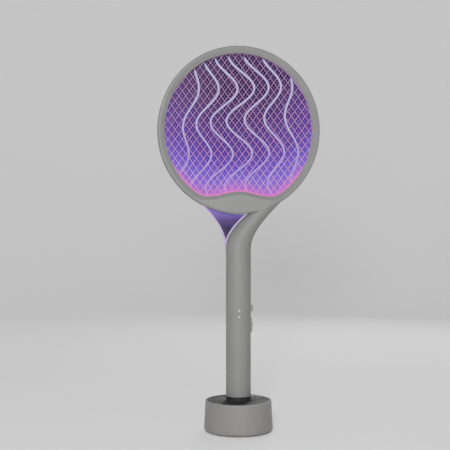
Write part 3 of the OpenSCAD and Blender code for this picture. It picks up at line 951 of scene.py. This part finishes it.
cover("head_front_cover", head_housing(-1), "head_front_frame")
rear_cover = cover("head_rear_cover", head_housing(1), "head_rear_frame")
cut_holes(rear_cover, screw_places(), SCREW_HOLE_R, 5, 20)
paint(rear_cover, shell_plastic)
cover("neck_front_cover", neck_housing(-1), "neck_front_shell")
cover("neck_rear_cover", neck_housing(1), "neck_rear_shell")

front_guard = guard(-GUARD_IN, -GUARD_OUT, 0.0)
rear_guard = guard(GUARD_IN, GUARD_OUT, CELL_W / 2)
guide_low, guide_high = box_mm("lamp_light_guide")
lamp_edge = lit_edge(guide_low[1], guide_high[1])
# The lattices, ribs and grids carry painted lamp light as emission; the lamp edge glows as the
# light guide itself.
for name, shape, material, replaced, slot in (
    ("front_lattice", front_guard, guard_painted_light, ["front_guard"], "guard_plastic"),
    ("rear_lattice", rear_guard, guard_painted_light, ["rear_guard"], "guard_plastic"),
    ("flowing_ribs", ribs(), rib_painted_light, ["guard_ribs"], "rib_plastic"),
    ("shock_grid", grid_mesh(), grid_painted_light, ["hv_grid_wires"], "grid_metal"),
    ("coarse_grid", coarse_mesh(), coarse_painted_light, [], "grid_metal"),
    ("lamp_edge", lamp_edge, edge_glow, ["lamp_light_guide"], "light_guide"),
):
    set_glow(piece(name, shape, material, "swatter", replaced))

piece("fin_web", fin_panel(), fin_plastic, "swatter", ["fin_panel"])
piece(
    "fin_outer_strip",
    fin_guide(FIN_EDGE, FIN_TOP, 0.9, (2.2, 3.8, 1.5)),
    outer_strip,
    "swatter",
    ["fin_outer_light_guide"],
)
piece(
    "fin_inner_strip",
    fin_guide(NECK_LEFT, FIN_INNER_TOP, -1.0, (1.4, 3.0, 1.5), start=0.06),
    inner_strip,
    "swatter",
    ["fin_inner_light_guide"],
)

for name in ("left", "right"):
    node, joint = f"pin_spring_{name}", f"contact_pin_{name}_press"
    coil = piece(f"pin_coil_{name}", spring_coil(node), spring_steel, "dock", [node])
    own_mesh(coil)

dress(dock_plastic, "dock_shell")
dress(dark_plastic, "dock_top_plate", "dock_bottom_plate", "handle_end_cap")
dress(bezel_plastic, "button_bezel", "slider_bezel")
dress(steel, "dock_ballast_weight", "dock_usb_socket", "battery_contacts", "slide_switch")
dress(steel, "dock_screws", "handle_screws", "head_screws")
dress(grid_steel, "hv_grid_frame")
dress(board, "dock_circuit_board", "main_circuit_board", "lamp_circuit_board")
dress(black_plastic, "dock_contact_block", "board_components", "tact_switch")
dress(brass, "contact_pin_left", "contact_pin_right", "contact_pads")
dress(foot_rubber, "dock_feet")
dress(shell_plastic, "handle_front_shell", "handle_rear_shell", "strap_lug")
dress(control_plastic, "zap_button", "mode_slider")
dress(inner_plastic, "front_insulator_ring", "rear_insulator_ring")
dress(cell_wrap, "battery_cell")
dress(tape, "hv_transformer")
dress(film, "hv_capacitor")
dress(lens, "indicator_lenses", "status_leds", "uv_leds")
dress(red_lead, "hv_lead_wires")
dress(blue_lead, "lamp_lead_wires")


# ---------- studio ----------
def floor_sweep():
    """A round pale floor that curves up into a wall on every side."""
    flat, bend, top = 1700, 800, 3600
    curve = [unit(a) for a in range(5, 91, 5)]
    profile = [(0.5 * flat, 0), (flat, 0)]
    profile += [(flat + bend * s, bend - bend * c) for c, s in curve]
    profile.append((flat + bend, top))
    count, points = 96, []
    for i in range(count):
        c, s = unit(360 * i / count)
        points += [(r * c, r * s, z) for r, z in profile]
    size = len(profile)
    faces = skin_faces(count, size, loop=True, closed=False)
    faces.append(tuple(i * size for i in range(count)))
    return points, faces


studio = Nodes("studio_floor")
studio.set(Base_Color=studio.mottle(3, 2, (0.78, 0.78, 0.78), (0.80, 0.80, 0.80)))
studio.set(Roughness=studio.span(studio.noise(40), 0.3, 0.7, 0.7, 0.8))
floor = paint(make_object("floor", *floor_sweep(), 180), studio.material)


def soft_light(name, place, aim, size, power):
    """A round area light, size metres across, that shines from place towards aim."""
    data = bpy.data.lights.new(name, "AREA")
    data.shape, data.size, data.energy = "DISK", size, power
    obj = bpy.data.objects.new(name, data)
    obj.location = place
    obj.rotation_euler = (Vector(aim) - Vector(place)).to_track_quat("-Z", "Y").to_euler()
    bpy.context.scene.collection.objects.link(obj)


WALL_LIGHTS = ((45, 15), (135, 15), (225, 5), (315, 5))  # direction in degrees, power
middle = (0, 0, 0.28)
soft_light("key", (-0.26, -1.55, 0.66), middle, 0.3, 50)
soft_light("top", (0.0, -0.3, 2.0), middle, 0.8, 2)
soft_light("back", (0.5, 1.3, 0.8), middle, 0.6, 9)
for turn, power in WALL_LIGHTS:
    c, s = unit(turn)
    soft_light(f"wall_{turn}", (1.1 * c, 1.1 * s, 2.3), (2.4 * c, 2.4 * s, 0.5), 1.2, power)

world = bpy.data.worlds.new("studio")
world.use_nodes = True
world.node_tree.nodes["Background"].inputs["Color"].default_value = (0.8, 0.82, 0.85, 1)
world.node_tree.nodes["Background"].inputs["Strength"].default_value = 0.03
bpy.context.scene.world = world


# ---------- camera ----------
AZIMUTH = math.radians(5)
DISTANCE, EYE_Z, ASIDE = 1.30, 0.278, -0.0181
FOCAL_LENGTH, SENSOR_WIDTH = 77, 36
forward = Vector((math.sin(AZIMUTH), math.cos(AZIMUTH), 0))
right = Vector((math.cos(AZIMUTH), -math.sin(AZIMUTH), 0))
lens_data = bpy.data.cameras.new("camera")
lens_data.lens, lens_data.sensor_width = FOCAL_LENGTH, SENSOR_WIDTH
camera = bpy.data.objects.new("camera", lens_data)
camera.location = right * ASIDE + Vector((0, 0, EYE_Z)) - forward * DISTANCE
camera.rotation_euler = forward.to_track_quat("-Z", "Y").to_euler()
bpy.context.scene.collection.objects.link(camera)
bpy.context.scene.camera = camera
